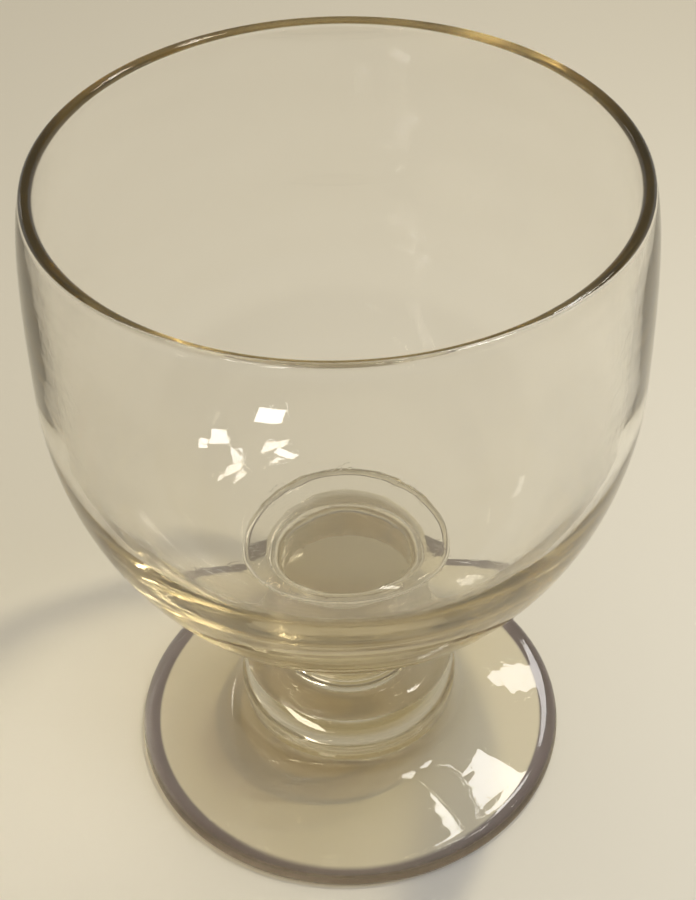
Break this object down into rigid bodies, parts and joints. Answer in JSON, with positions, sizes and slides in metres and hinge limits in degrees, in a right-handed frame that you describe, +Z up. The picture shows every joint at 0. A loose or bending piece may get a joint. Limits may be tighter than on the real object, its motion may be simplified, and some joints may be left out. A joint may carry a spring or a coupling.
{
  "type": "sherbet glass",
  "caption": "Stemmed sherbet glass: deep round bowl with a rounded lip, flat collar, short neck with a wide cushion knop, and a low conical foot, all in clear glass.",
  "frame": {"origin": "on the axis, at the centre of the plane that the foot rests on", "axes": "+Z up along the axis, from the foot to the rim; the glass is round, so +X and +Y are any two level directions"},
  "size_m": [0.0848, 0.0848, 0.1082],
  "materials": {
    "bowl_glass": "clear blown glass, faintly straw coloured, with a fire-polished rim",
    "collar_glass": "clear glass, solid wafer",
    "stem_glass": "clear glass, solid knop and neck",
    "foot_glass": "clear glass, hand-shaped foot with a rounded edge"
  },
  "bodies": {
    "root": {"bowl": "bowl_glass", "collar": "collar_glass", "knopped_stem": "stem_glass", "foot": "foot_glass"}
  },
  "joints": []
}
